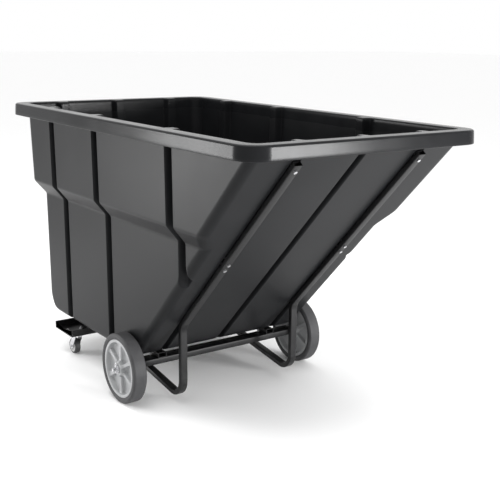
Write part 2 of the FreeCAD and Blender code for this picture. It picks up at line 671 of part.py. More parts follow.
def make_floor_bolts():
    """Bolts down through the hopper floor, and their nuts underneath."""
    bolts = []
    nuts = []
    top = FLOOR_Z + WALL
    for x, y, z in floor_bolt_spots():
        grip = top - z + NUT_H + WASHER_T + 4
        bolts.append(bolt(V(x, y, top), V(0, 0, -1), grip))
        nuts.append(nut(V(x, y, z), V(0, 0, -1)))
    return bolts, nuts


def make_caster_bolts():
    """Bolts up through the top plates, and their nuts on the channel's web."""
    bolts = []
    nuts = []
    for x, y in caster_bolt_spots():
        seat = V(x, y, CASTER_PLATE_Z)
        grip = CASTER_PLATE_T + CHANNEL_T + NUT_H + WASHER_T + 3
        bolts.append(bolt(seat, V(0, 0, 1), grip, CASTER_BOLT_R, 11.0, 3.6))
        nuts.append(nut(V(x, y, CHANNEL_Z + CHANNEL_T), V(0, 0, 1), CASTER_BOLT_R, 11.0, 5.5))
    return bolts, nuts


def write(name, shapes):
    """Write one node; several separate solids become one group."""
    shapes = shapes if isinstance(shapes, list) else [shapes]
    shape = shapes[0] if len(shapes) == 1 else Part.makeCompound(shapes)
    shape.exportStep("parts/" + name + ".step")


def main():
    """Make every piece and write its file."""
    os.makedirs("parts", exist_ok=True)
    strap_seats, pad_seats = face_bolt_seats()
    strap_bolts, strap_nuts = make_face_bolts(strap_seats)
    pad_bolts, pad_nuts = make_face_bolts(pad_seats)
    floor_bolts, floor_nuts = make_floor_bolts()
    mount_bolts, mount_nuts = make_caster_bolts()
    write("tub", make_tub())
    write("cross_tube", make_cross_tube())
    write("caster_channel", make_channel())
    write("axle", make_axle())
    out = WHEEL_WIDTH / 2 + BUSH_PROUD + RUN_GAP + AXLE_WASHER / 2
    write("axle_inner_washers", both_sides(lambda s: axle_washer(s, -out, AXLE_WASHER, 16.0)))
    write("axle_outer_washers", both_sides(lambda s: axle_washer(s, out, AXLE_WASHER, 19.0)))
    write("cotter_pins", both_sides(cotter_pin))
    write("strap_bolts", strap_bolts)
    write("strap_nuts", strap_nuts)
    write("pad_bolts", pad_bolts)
    write("pad_nuts", pad_nuts)
    write("floor_bolts", floor_bolts)
    write("floor_nuts", floor_nuts)
    write("caster_mount_bolts", mount_bolts)
    write("caster_mount_nuts", mount_nuts)
    sided = {"frame_tube": frame_tube, "rail": make_rail, "wheel_hub": make_hub,
             "wheel_tyre": make_tyre, "wheel_bushing": make_bushing,
             "caster_plate": caster_plate, "caster_race": caster_race,
             "caster_kingpin": caster_kingpin, "caster_fork": caster_fork,
             "caster_axle": caster_axle, "caster_core": caster_core,
             "caster_tread": caster_tread}
    for name, make in sided.items():
        write("right_" + name, make(-1.0))
        write("left_" + name, make(1.0))


main()
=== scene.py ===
"""Looks of a plastic tilt truck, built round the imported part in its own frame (metres).

Each sub-assembly is a class that holds its sizes in mm and makes its own pieces.
"""
import json
import logging
import math
from dataclasses import dataclass
from enum import Enum
from typing import Sequence

import bpy
import numpy as np
from mathutils import Matrix, Vector


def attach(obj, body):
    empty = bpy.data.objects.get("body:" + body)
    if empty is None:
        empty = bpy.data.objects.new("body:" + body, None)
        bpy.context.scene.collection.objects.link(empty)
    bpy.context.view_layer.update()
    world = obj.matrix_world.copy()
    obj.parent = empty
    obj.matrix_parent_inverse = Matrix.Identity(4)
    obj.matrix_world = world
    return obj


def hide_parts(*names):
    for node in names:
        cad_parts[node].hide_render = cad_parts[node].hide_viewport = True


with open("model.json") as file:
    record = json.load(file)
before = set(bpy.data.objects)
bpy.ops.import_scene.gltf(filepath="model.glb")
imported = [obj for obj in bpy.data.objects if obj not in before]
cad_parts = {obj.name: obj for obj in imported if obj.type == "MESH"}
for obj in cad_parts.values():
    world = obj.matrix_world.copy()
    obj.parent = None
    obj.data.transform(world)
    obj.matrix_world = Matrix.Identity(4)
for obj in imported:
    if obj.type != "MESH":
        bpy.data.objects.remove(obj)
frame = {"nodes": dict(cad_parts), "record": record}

LOG = logging.getLogger("tilt_truck")
MM = 0.001
Array = np.ndarray


class Side(Enum):
    """Side of the truck; the value is the sign of its Y."""

    LEFT = 1.0
    RIGHT = -1.0

    @property
    def prefix(self) -> str:
        """Start of this side's node names."""
        return self.name.lower() + "_"


# ---- numpy surfaces -------------------------------------------------------------------------
def smooth(t: Array | float) -> Array:
    """Smoothstep of t held between 0 and 1: three t squared less two t cubed."""
    t = np.clip(t, 0.0, 1.0)
    return t * t * (3.0 - 2.0 * t)


def spread(marks: Sequence[float], counts: Sequence[int]) -> Array:
    """Positions along marks with each gap cut into its count of equal steps."""
    parts = [np.linspace(a, b, n, endpoint=False) for a, b, n in zip(marks, marks[1:], counts)]
    return np.concatenate(parts + [np.array([marks[-1]])])


class Surface:
    """A grid of points that becomes one closed mesh."""

    def __init__(self, points: Array, closed_v: bool) -> None:
        """Keep the grid.

        Args:
            points: rows (v) by columns (u) by 3, in mm; columns always close on themselves.
            closed_v: True when the last row joins the first; otherwise both ends are capped.
        """
        self.points = points
        self.closed_v = closed_v

    def arrays(self) -> tuple[Array, list[Array]]:
        """Vertices in metres, and face index arrays, turned so that normals point outwards.

        The sign of the summed volume of the tetrahedra from the origin to each face says which
        way the faces point.

        Returns:
            Vertices, and a list of face arrays (quads, then cap triangles).
        """
        rows, cols = self.points.shape[:2]
        index = np.arange(rows * cols).reshape(rows, cols)
        below = np.roll(index, -1, axis=0) if self.closed_v else index[1:]
        above = index if self.closed_v else index[:-1]
        corners = [above, np.roll(above, -1, axis=1), np.roll(below, -1, axis=1), below]
        quads = np.stack(corners, -1).reshape(-1, 4)
        verts = self.points.reshape(-1, 3)
        tris = np.zeros((0, 3), int)
        if not self.closed_v:
            ends = np.array([self.points[0].mean(0), self.points[-1].mean(0)])
            poles = [np.full(cols, len(verts)), np.full(cols, len(verts) + 1)]
            first = np.stack([index[0], poles[0], np.roll(index[0], -1)], -1)
            last = np.stack([index[-1], np.roll(index[-1], -1), poles[1]], -1)
            tris = np.concatenate([first, last])
            verts = np.concatenate([verts, ends])
        a, b, c, d = (verts[quads[:, k]] for k in range(4))
        volume = (a * np.cross(b, c)).sum() + (a * np.cross(c, d)).sum()
        if len(tris):
            a, b, c = (verts[tris[:, k]] for k in range(3))
            volume += (a * np.cross(b, c)).sum()
        if volume < 0:
            quads = quads[:, ::-1]
            tris = tris[:, ::-1]
        return verts * MM, [quads, tris]

    def mesh(self, name: str) -> bpy.types.Mesh:
        """Blender mesh of the surface, smooth shaded.

        Args:
            name: name of the mesh.

        Returns:
            The mesh.
        """
        verts, faces = self.arrays()
        mesh = bpy.data.meshes.new(name)
        loops = np.concatenate([f.reshape(-1) for f in faces])
        sizes = np.concatenate([np.full(len(f), f.shape[1]) for f in faces])
        starts = np.concatenate([[0], np.cumsum(sizes)[:-1]])
        mesh.vertices.add(len(verts))
        mesh.vertices.foreach_set("co", verts.astype(np.float32).reshape(-1))
        mesh.loops.add(len(loops))
        mesh.loops.foreach_set("vertex_index", loops.astype(np.int32))
        mesh.polygons.add(len(sizes))
        mesh.polygons.foreach_set("loop_start", starts.astype(np.int32))
        mesh.polygons.foreach_set("use_smooth", np.ones(len(sizes), bool))
        mesh.update(calc_edges=True)
        mesh.validate()
        return mesh


def lathe(profile: Array, steps: int, centre: Array) -> Surface:
    """Ring swept round an axis along Y.

    Args:
        profile: closed outline of (radius, offset along Y) points.
        steps: columns round the axis.
        centre: middle of the ring.

    Returns:
        The closed ring.
    """
    angle = np.linspace(0, 2 * np.pi, steps, endpoint=False)
    r = profile[:, 0][:, None]
    y = np.broadcast_to(profile[:, 1][:, None], (len(profile), steps))
    grid = np.stack([r * np.cos(angle), y, r * np.sin(angle)], -1)
    return Surface(grid + centre, True)


def extrude(profiles: Sequence[Array], ys: Sequence[float]) -> Surface:
    """Solid bar along Y through one (x, z) profile at each y."""
    rows = [np.stack([p[:, 0], np.full(len(p), y), p[:, 1]], -1) for p, y in zip(profiles, ys)]
    return Surface(np.array(rows), False)


def rounded_profile(corners: Sequence[tuple[float, float, float]], steps: int = 6) -> Array:
    """Closed outline with each corner rounded.

    A rounding starts and ends at its tangent points, the radius over the tangent of half the
    corner's angle away from the corner. It is a rational quadratic curve whose middle weight is
    the sine of that half angle, which makes it a circle's arc.

    Args:
        corners: (a, b, radius) of each corner.
        steps: points on each rounding.

    Returns:
        Points by 2.
    """
    points = np.array([c[:2] for c in corners], float)
    longest_share = 0.49       # of the edge beside a corner that its rounding may take
    out = []
    for i, (_, _, radius) in enumerate(corners):
        here = points[i]
        u = points[i - 1] - here
        w = points[(i + 1) % len(points)] - here
        u_len = np.linalg.norm(u)
        w_len = np.linalg.norm(w)
        u, w = u / u_len, w / w_len
        half = math.acos(max(-1.0, min(1.0, float(u @ w)))) / 2
        if radius <= 0:
            out.append(here[None])
            continue
        reach = min(radius / math.tan(half), longest_share * u_len, longest_share * w_len)
        t = np.linspace(0, 1, steps)[:, None]
        weight = math.sin(half)
        start, end = here + u * reach, here + w * reach
        top = (1 - t) ** 2 * start + 2 * weight * t * (1 - t) * here + t ** 2 * end
        out.append(top / ((1 - t) ** 2 + 2 * weight * t * (1 - t) + t ** 2))
    return np.concatenate(out)


def round_rect(width: float, height: float, radius: float) -> Array:
    """Closed rounded rectangle about the origin."""
    a, b = width / 2, height / 2
    return rounded_profile([(-a, -b, radius), (a, -b, radius), (a, b, radius), (-a, b, radius)], 5)


def mirrored(half: Sequence[tuple[float, float, float]]) -> list[tuple[float, float, float]]:
    """Corners followed by their mirror images in reverse, so that a half outline closes."""
    return list(half) + [(a, -b, c) for a, b, c in half[::-1]]


# ---- hopper ---------------------------------------------------------------------------------
@dataclass(frozen=True)
class Grooves:
    """A row of equal grooves along one wall; in mm."""

    centres: tuple[float, ...]
    half: float
    bed: float
    depth: float
    soft: float = 2.5          # rounding past the lip and past the bed's edge
    margin: float = 12.0       # closely sampled wall outside the lip
    flat: float = 7.0          # from the bed's edge in to its widely sampled middle

    def depth_at(self, pos: Array, skin: float) -> Array:
        """Depth of the nearest groove.

        It rises by a smoothstep from just outside the lip to just inside the bed's edge. On an
        inner surface, skin mm behind the outer one, the groove is wider by the share of skin that
        keeps the wall's thickness over the slanted flank.

        Args:
            pos: positions along the wall.
            skin: how far inside the outer surface.

        Returns:
            Depth at each position.
        """
        slant = (self.half - self.bed) / self.depth
        grow = skin * (math.sqrt(1 + slant ** 2) - slant)
        gap = np.abs(pos[..., None] - np.array(self.centres)).min(-1)
        run = self.half - self.bed + 2 * self.soft
        return self.depth * smooth((self.half + grow + self.soft - gap) / run)

    def samples(self, lo: float, hi: float, panel: int) -> Array:
        """Positions from lo to hi, close together across each groove.

        Args:
            lo: first position.
            hi: last position.
            panel: steps between two grooves.

        Returns:
            Positions in order.
        """
        reach = self.half + self.margin
        inner = self.bed - self.flat
        flank = spread([inner, reach], [13])
        local = np.concatenate([-spread([reach, inner], [13])[:-1],
                                np.linspace(-inner, inner, 4), flank[1:]])
        out = [np.array([lo])]
        for c in self.centres:
            out.append(np.linspace(out[-1][-1], c + local[0], panel + 1)[1:-1])
            out.append(c + local)
        out.append(np.linspace(out[-1][-1], hi, panel + 1)[1:])
        return np.concatenate(out)


@dataclass
class Hopper:
    """The moulded hopper, as plan outlines stacked up the outside and down the inside; in mm.

    Each box is the stretch of wall, from the sharp corner, that belongs to a corner's own path.
    """

    rim_length: float = 2000.0
    rim_width: float = 1090.0
    rim_top: float = 1212.0
    skirt: float = 54.0
    rim_corner: float = 90.0
    rim_lean: float = 2.2          # of the skirt's top inwards
    rim_edge: float = 9.0          # rounding of the rim's top edge
    inset: float = 57.0
    wall: float = 6.5
    floor: float = 193.0
    slope_deg: float = 45.92
    shoulder_step: float = 53.0
    shoulder_top: float = 845.0
    shoulder_drop: float = 64.0
    side_tapers: tuple[float, float] = (6.0, 4.0)      # above and below the shoulder
    rear_tapers: tuple[float, float] = (16.0, 5.0)
    rear_shoulder: float = 14.0
    bend_soft: float = 7.0         # half height over which a bend of the wall is rounded
    rear_corner: float = 55.0
    front_corner: float = 34.0
    longest_corner: float = 45.0   # along X, of the front corner
    side_bottom: float = 25.0
    end_bottom: float = 100.0
    front_box: float = 46.0
    face_box: float = 84.0
    rear_box: float = 70.0
    rim_box: float = 96.0
    rear_start: float = -925.0     # where the side wall's samples start, less the rear box
    side_panel: int = 8            # steps between two grooves of a side wall
    end_panel: int = 6             # the same on the rear wall and the dump face
    floor_middle: float = -430.0   # X of the floor's pole
    side_row: Grooves = Grooves((-644.0, -209.0, 404.0), 25.0, 17.0, 35.0)
    rear_row: Grooves = Grooves((-299.75, 0.0, 299.75), 25.0, 17.0, 35.0)
    face_centres: tuple[float, ...] = (-291.03, 0.0, 291.03)
    face_depth: float = 25.0       # square to the dump face

    def __post_init__(self) -> None:
        """Work out the wall's bends and the dump face's grooves."""
        half_top = self.rim_width / 2 - self.inset
        half_high = half_top - self.side_tapers[0]
        half_knee = half_high - self.shoulder_step
        self.knee = self.shoulder_top - self.shoulder_drop
        heights = np.array([self.floor, self.knee, self.shoulder_top, self.rim_top])
        self.side_marks = (heights, np.array([half_knee - self.side_tapers[1], half_knee,
                                              half_high, half_top]))
        rear_top = -self.rim_length / 2 + self.inset
        rear_high = rear_top + self.rear_tapers[0]
        rear_knee = rear_high + self.rear_shoulder
        self.rear_marks = (heights, np.array([rear_knee + self.rear_tapers[1], rear_knee,
                                              rear_high, rear_top]))
        tip = self.face_x - (self.face_z - self.floor) / math.tan(self.slope)
        self.tangent = tip - self.end_bottom * math.tan(self.slope / 2)
        self.face_row = Grooves(self.face_centres, 15.0, 10.0,
                                self.face_depth / math.sin(self.slope))

    @property
    def slope(self) -> float:
        """Angle of the dump face in radians."""
        return math.radians(self.slope_deg)

    @property
    def face_x(self) -> float:
        """Where the dump face meets the underside of the rim."""
        return self.rim_length / 2 - self.inset - 7.0

    @property
    def face_z(self) -> float:
        """Height that goes with face_x."""
        return self.rim_top - self.skirt + 2.0

    # -- wall positions at a height -----------------------------------------------------------
    def softened(self, z: float, marks: tuple[Array, Array]) -> float:
        """Piecewise straight marks at height z, with their bends rounded by a moving mean."""
        offsets = np.linspace(-self.bend_soft, self.bend_soft, 9)
        return float(np.interp(z + offsets, *marks).mean())

    @staticmethod
    def fillet(rise: float, radius: float) -> float:
        """How far a bottom rounding stands in from its wall.

        Args:
            rise: height above the floor.
            radius: radius of the rounding.

        Returns:
            The distance.
        """
        if rise >= radius:
            return 0.0
        return radius - math.sqrt(max(0.0, radius ** 2 - (radius - rise) ** 2))

    def side(self, z: float, skin: float) -> float:
        """Half width at height z."""
        rounding = self.fillet(z - self.floor - skin, self.side_bottom - skin)
        return self.softened(z, self.side_marks) - skin - rounding

    def rear(self, z: float, skin: float) -> float:
        """Rear wall position at height z."""
        rounding = self.fillet(z - self.floor - skin, self.end_bottom - skin)
        return self.softened(z, self.rear_marks) + skin + rounding

    def front(self, z: float, skin: float) -> float:
        """Dump face position at height z: floor rounding, slope, then upright at the rim.

        Args:
            z: height.
            skin: how far inside the outer surface.

        Returns:
            X of the face.
        """
        radius = self.end_bottom - skin
        rise = z - self.floor - skin
        if rise < radius * (1 - math.cos(self.slope)):
            return self.tangent + math.sqrt(radius ** 2 - (radius - rise) ** 2)
        x = self.face_x - (self.face_z - z) / math.tan(self.slope) - skin / math.sin(self.slope)
        return min(x, self.rim_length / 2 - self.inset - skin)

    # -- outlines -----------------------------------------------------------------------------
    def side_samples(self) -> Array:
        """Positions along a side wall before they are fitted between its corners."""
        end = self.rim_length / 2 - self.inset - self.front_box
        return self.side_row.samples(self.rear_start + self.rear_box, end, self.side_panel)

    @staticmethod
    def squeeze(pos: Array, lo: float, hi: float) -> Array:
        """Positions kept in order between lo and hi; those past an end pack up against it.

        Args:
            pos: positions in order.
            lo: least position.
            hi: greatest position.

        Returns:
            The positions.
        """
        step = 0.25
        ranks = np.arange(len(pos))
        pos = np.minimum(pos, hi - (len(pos) - 1 - ranks) * step)
        return np.maximum(pos, lo + ranks * step)

    @staticmethod
    def corner(box: tuple[float, float], rx: float, ry: float, inset: float) -> Array:
        """Corner path in its own box, from (-a, 0) to (0, -b) seen from the sharp corner.

        A straight run, an elliptic arc with semi-axes rx and ry, and a straight run. With an
        inset the path is one quarter ellipse between the ends, both moved straight inwards.

        Args:
            box: a and b.
            rx: semi-axis along the first wall.
            ry: semi-axis along the second wall.
            inset: how far the ends move inwards.

        Returns:
            Points by 2.
        """
        a, b = box
        steps, tail = 12, 7
        if inset > 0:
            t = np.linspace(0, np.pi / 2, steps + tail + 3)[1:-1]
            return np.stack([-a + (a - inset) * np.sin(t), -b + (b - inset) * np.cos(t)], -1)
        t = np.linspace(0, np.pi / 2, steps)
        arc = np.stack([-rx + rx * np.sin(t), -ry + ry * np.cos(t)], -1)
        lead = np.array([[-(a + rx) / 2, 0.0]])
        run = np.linspace(-ry, -b, tail + 1, endpoint=False)[1:]
        return np.concatenate([lead, arc, np.stack([np.zeros(tail), run], -1)])

    def outline(self, z: float, skin: float, inset: float = 0.0) -> Array:
        """Plan outline of the wall at height z.

        Where a side groove runs into the front corner, the corner's path moves in by the eighth
        power mean of its own depth and the groove's, which follows the deeper one with a soft
        change between them.

        Args:
            z: height.
            skin: how far inside the outer surface.
            inset: extra straight move inwards past the grooves, for the floor.

        Returns:
            Points as columns by 3.
        """
        y, back, front = self.side(z, skin), self.rear(z, skin), self.front(z, skin)
        lo, hi = back + self.rear_box, front - self.front_box
        xs = self.squeeze(self.side_samples(), lo, hi)
        xs[0], xs[-1] = lo, hi
        side_depth = np.maximum(self.side_row.depth_at(xs, skin), inset)
        fy = self.face_row.samples(-y + self.face_box, y - self.face_box, self.end_panel)
        fd = np.maximum(self.face_row.depth_at(fy, skin), inset)
        ry = self.rear_row.samples(-y + self.rear_box, y - self.rear_box, self.end_panel)
        rd = np.maximum(self.rear_row.depth_at(ry, skin), inset)
        least = 4.0
        fr = max(self.front_corner - skin, least)
        rr = max(self.rear_corner - skin, least)
        fx = min(fr / math.sin(self.slope), self.longest_corner)
        fc = self.corner((self.front_box, self.face_box), fx, fr, inset)
        rc = self.corner((self.rear_box, self.rear_box), rr, rr, inset)
        bite = self.side_row.depth_at(front + fc[:, 0], skin) * (inset <= 0)
        right = np.stack([xs, -y + side_depth], -1)
        near = np.stack([front + fc[:, 0], -y + (np.abs(fc[:, 1]) ** 8 + bite ** 8) ** 0.125], -1)
        face = np.stack([front - fd, fy], -1)
        rear_far = np.stack([back - rc[:, 0], y + rc[:, 1]], -1)
        rear = np.stack([back + rd, ry], -1)[::-1]
        return self.closed(right, near, face, rear_far, rear, z)

    @staticmethod
    def closed(right: Array, near: Array, face: Array, rear_far: Array, rear: Array,
               z: float) -> Array:
        """Closed outline from its right half's parts and their mirror images.

        Args:
            right: right-hand wall, from the rear.
            near: right front corner.
            face: dump face, from right to left.
            rear_far: left rear corner.
            rear: rear wall, from left to right.
            z: height.

        Returns:
            Points as columns by 3.
        """
        flip = np.array([1, -1])
        plan = np.concatenate([right, near, face, near[::-1] * flip, right[::-1] * flip,
                               rear_far, rear, rear_far[::-1] * flip])
        return np.concatenate([plan, np.full((len(plan), 1), z)], 1)

    def rim_outline(self, z: float, inset: float) -> Array:
        """Plan outline of the rolled rim, with the same count of points as outline().

        The points along each side are the wall's own, stretched to the rim's length.

        Args:
            z: height.
            inset: how far inside the rim's largest outline.

        Returns:
            Points as columns by 3.
        """
        half_l, half_w = self.rim_length / 2 - inset, self.rim_width / 2 - inset
        radius = max(self.rim_corner - inset, 6.0)
        box = self.rim_box
        ref = self.outline(self.rim_top, 0.0)
        corner = self.corner((box, box), radius, radius, 0.0)
        n_side, n_corner = len(self.side_samples()), len(corner)
        n_end = len(self.face_row.samples(-400.0, 400.0, self.end_panel))

        def along(start: int, count: int, column: int, lo: float, hi: float) -> Array:
            """One column of the wall's points, stretched to run from lo to hi."""
            p = ref[start:start + count, column]
            return lo + (hi - lo) * (p - p[0]) / (p[-1] - p[0])

        xs = along(0, n_side, 0, -half_l + box, half_l - box)
        fy = along(n_side + n_corner, n_end, 1, -half_w + box, half_w - box)
        start = 2 * n_side + 3 * n_corner + n_end
        ry = along(start, n_end, 1, half_w - box, -half_w + box)
        right = np.stack([xs, np.full(n_side, -half_w)], -1)
        near = np.stack([half_l + corner[:, 0], -half_w - corner[:, 1]], -1)
        face = np.stack([np.full(n_end, half_l), fy], -1)
        rear_far = np.stack([-half_l - corner[:, 0], half_w + corner[:, 1]], -1)
        rear = np.stack([np.full(n_end, -half_l), ry], -1)
        return self.closed(right, near, face, rear_far, rear, z)

    # -- rows ---------------------------------------------------------------------------------
    def levels(self, skin: float) -> Array:
        """Heights of the rows, from the floor to just under the rim's plate.

        They are close together over the floor's roundings, where the front groove ends in the
        corner, and at both bends of the shoulder.

        Args:
            skin: how far inside the outer surface.

        Returns:
            Heights in order.
        """
        base = self.floor + skin
        bend = self.end_bottom - skin
        low = base + bend * (1 - np.cos(np.linspace(0, np.pi / 2, 12)))
        side = base + (self.side_bottom - skin) * (1 - np.cos(np.linspace(0.3, np.pi / 2, 5)))
        groove_end = (580.0, 705.0)
        near = 2 * self.bend_soft
        marks = [low[-1], *groove_end, self.knee - near, self.knee + near,
                 self.shoulder_top - near, self.shoulder_top + near, self.face_z - 12]
        rest = spread(marks, [10, 34, 3, 10, 4, 10, 8])
        return np.unique(np.round(np.concatenate([low, side, rest]), 3))

    def floor_rows(self, skin: float) -> list[Array]:
        """Rows from the floor's pole out to the wall's outline.

        Args:
            skin: how far inside the outer surface.

        Returns:
            Rows of points.
        """
        z = self.floor + skin
        middle = np.array([self.floor_middle, 0.0, 0.0])
        past_grooves = self.side_row.depth + self.side_row.soft
        base = self.outline(z, skin, inset=past_grooves)
        keep = base * [1, 1, 0] - middle
        scaled = [middle + keep * k + np.array([0, 0, z]) for k in (0.02, 0.3, 0.65, 0.93)]
        return scaled + [base, self.outline(z, skin)]

    def rim_section(self) -> list[tuple[float, float]]:
        """Section of the rolled rim: its hollow underside, the skirt and the top edge.

        Returns:
            (height, inset from the rim's largest outline) of each row.
        """
        plate = self.rim_top - self.wall
        bottom = self.rim_top - self.skirt
        under = [(plate, self.inset * 0.5), (plate, 12.0), (plate - 1.2, 8.2),
                 (plate - 4, self.wall), (bottom + 12, self.wall), (bottom + 2, self.wall - 0.4),
                 (bottom, self.wall - 2.4)]
        skirt = [(bottom, 2.6), (bottom + 0.8, 0.8), (bottom + 3, 0.0),
                 (bottom + 15, self.rim_lean * 0.2), (bottom + 30, self.rim_lean * 0.55)]
        edge = [(self.rim_top - self.rim_edge + self.rim_edge * math.sin(t),
                 self.rim_lean + self.rim_edge * (1 - math.cos(t)))
                for t in np.linspace(0, np.pi / 2, 8)]
        return under + skirt + edge + [(self.rim_top, 18.0), (self.rim_top, 36.0)]

    def surface(self) -> Surface:
        """The whole closed grid.

        Rows run from the middle of the underside out to the wall, up the outside, along the rim's
        hollow underside, down and up round its skirt, over its top, down the inside and over the
        floor to the middle.

        Returns:
            The grid.
        """
        plate = self.rim_top - self.wall
        rows = self.floor_rows(0.0)
        rows += [self.outline(z, 0.0) for z in self.levels(0.0)[1:]]
        rows += [self.outline(z, 0.0) for z in (self.face_z - 6, self.face_z + 4, plate - 25,
                                                plate - 3, plate)]
        rows += [self.rim_outline(z, i) for z, i in self.rim_section()]
        edge = [(0.0, 5.5), (0.5, 3.4), (1.9, 1.6), (3.6, 0.5), (6.0, 0.0)]
        rows += [self.outline(self.rim_top - drop, self.wall - less) for drop, less in edge]
        rows += [self.outline(z, self.wall) for z in (plate - 12, self.face_z + 14)]
        rows += [self.outline(z, self.wall) for z in self.levels(self.wall)[::-1][:-1]]
        rows += self.floor_rows(self.wall)[::-1]
        return Surface(np.array(rows), False)

    def build(self, shop: "Workshop") -> None:
        """Make the hopper's piece."""
        shop.piece("hopper_shell", self.surface(), "truck", Slot.POLYETHYLENE, "tub")


# ---- wheels ---------------------------------------------------------------------------------
@dataclass
class BigWheels:
    """The two big wheels, each a spoked centre in a moulded tyre; in mm."""

    radius: float = 152.4
    width: float = 63.0
    seat: float = 127.0            # radius at which the tyre sits on the centre
    ring: float = 13.0
    ring_width: float = 57.0
    ring_drop: float = 9.0         # of the spokes below the ring's face
    boss: float = 29.0
    bore: float = 12.5
    web: float = 9.0
    spokes: int = 6
    first_spoke_deg: float = 30.0
    spoke_half: float = 8.5
    spoke_spread: float = 3.0      # extra half width at the ring, and swell of the web
    x: float = -20.03
    y: float = 465.5

    def hub(self, y: float) -> Surface:
        """Spoked wheel centre as one ring-shaped grid.

        Each face is a height over the polar grid: the spoke's top, less the pocket's depth where
        the distance to the nearest spoke's centre line, r times the sine of the angle to it,
        passes the spoke's half width, and where the radius lies between boss and ring.

        Args:
            y: middle of the wheel.

        Returns:
            The closed ring.
        """
        angle = np.linspace(0, 2 * np.pi, 432, endpoint=False)
        ring_in = self.seat - self.ring
        marks = [self.bore, self.boss - 3, self.boss + 9, ring_in - 9, ring_in + 3, self.seat - 3]
        r = spread(marks, [4, 16, 16, 18, 4])
        half_ring, half_boss, half_web = self.ring_width / 2, self.width / 2, self.web / 2
        pitch = 2 * np.pi / self.spokes
        turned = angle - math.radians(self.first_spoke_deg) + pitch / 2
        gap = r[:, None] * np.sin(np.abs(turned % pitch - pitch / 2))[None, :]
        swell = self.spoke_spread
        taper = self.spoke_half + swell * smooth((r - 60) / 50)[:, None]
        spoke = 1 - smooth((gap - taper + 2.0) / 4.5)
        zone = smooth((r - self.boss) / 5.0) * (1 - smooth((r - ring_in + 5.0) / 5.0))
        fall = half_ring - self.ring_drop - half_boss
        top = half_boss + fall * smooth((r - self.boss + 1) / 12.0)
        top = top + self.ring_drop * smooth((r - ring_in + 4) / 5.0)
        web = half_web + swell * smooth((r - ring_in + 22) / 24.0)
        web = web + swell * (1 - smooth((r - self.boss) / 14.0))
        face = top[:, None] - (top - web)[:, None] * zone[:, None] * (1 - spoke)
        edge = np.array([[self.seat - 1.4, half_ring - 0.3], [self.seat - 0.3, half_ring - 1.5],
                         [self.seat, half_ring - 4]])
        rows_r = np.concatenate([r, edge[:, 0], edge[::-1, 0], r[::-1]])[:, None]
        edge_y = np.repeat(edge[:, 1][:, None], len(angle), 1)
        rows_y = np.concatenate([face, edge_y, -edge_y[::-1], -face[::-1]])
        grid = np.stack([rows_r * np.cos(angle), rows_y, rows_r * np.sin(angle)], -1)
        return Surface(grid + np.array([self.x, y, self.radius]), True)

    def tyre_profile(self) -> Array:
        """Closed section of the tyre: flat tread, a fine step and bulged sidewalls.

        Returns:
            Points by 2.
        """
        h, r, seat = self.width / 2, self.radius, self.seat
        side = [(seat, -h + 4.0, 1.0), (seat + 3.0, -h + 1.4, 1.5), (seat + 7.0, -h + 0.9, 1.0),
                (seat + 8.2, -h + 0.2, 0.8), (r - 9.0, -h, 6.0), (r, -h + 6.5, 6.0)]
        return rounded_profile(mirrored(side), 7)

    def build(self, shop: "Workshop") -> None:
        """Make both wheels' centres and tyres.

        Args:
            shop: where the pieces are put together.
        """
        for side in Side:
            y = self.y * side.value
            body = side.prefix + "wheel"
            tyre = lathe(self.tyre_profile(), 256, np.array([self.x, y, self.radius]))
            shop.piece(side.prefix + "spoked_centre", self.hub(y), body, Slot.HUB,
                       side.prefix + "wheel_hub")
            shop.piece(side.prefix + "tyre", tyre, body, Slot.TYRE, side.prefix + "wheel_tyre")


@dataclass
class CasterWheels:
    """The wheels of the two casters, each a dished centre in a rubber tread; in mm."""

    radius: float = 38.0
    width: float = 28.0
    tread: float = 9.0
    x: float = -698.0
    y: float = 385.0

    def tread_profile(self) -> Array:
        """Closed section of the rubber tread.

        Returns:
            Points by 2.
        """
        h, seat = self.width / 2, self.radius - self.tread
        crown = self.radius - 1.2
        return rounded_profile([(seat, -h, 0.6), (crown, -h, 5.0), (self.radius, 0.0, 30.0),
                                (crown, h, 5.0), (seat, h, 0.6)], 7)

    def core_profile(self) -> Array:
        """Closed section of the wheel centre, dished on both faces.

        Returns:
            Points by 2.
        """
        h, seat = self.width / 2, self.radius - self.tread
        half = [(4.1, -h - 1.5, 0.4), (8.6, -h - 1.5, 0.8), (9.2, -h + 6.0, 1.5),
                (21.5, -h + 6.5, 2.0), (23.5, -h + 0.6, 0.8), (seat, -h + 0.2, 0.4)]
        return rounded_profile(mirrored(half), 5)

    def build(self, shop: "Workshop") -> None:
        """Make both casters' treads and centres.

        Args:
            shop: where the pieces are put together.
        """
        for side in Side:
            centre = np.array([self.x, self.y * side.value, self.radius])
            body = side.prefix + "caster_wheel"
            shop.piece(side.prefix + "caster_tyre", lathe(self.tread_profile(), 128, centre),
                       body, Slot.CASTER_TREAD, side.prefix + "caster_tread")
            shop.piece(side.prefix + "caster_hub", lathe(self.core_profile(), 128, centre),
                       body, Slot.CASTER_CORE, side.prefix + "caster_core", hard=50)


# ---- frame ----------------------------------------------------------------------------------
def arc_points(centre: Array, radius: float, start: float, stop: float, steps: int) -> Array:
    """Points of an arc in the XZ plane; angles are from +X towards +Z."""
    a = np.linspace(start, stop, steps)
    return np.stack([centre[0] + radius * np.cos(a), centre[1] + radius * np.sin(a)], -1)


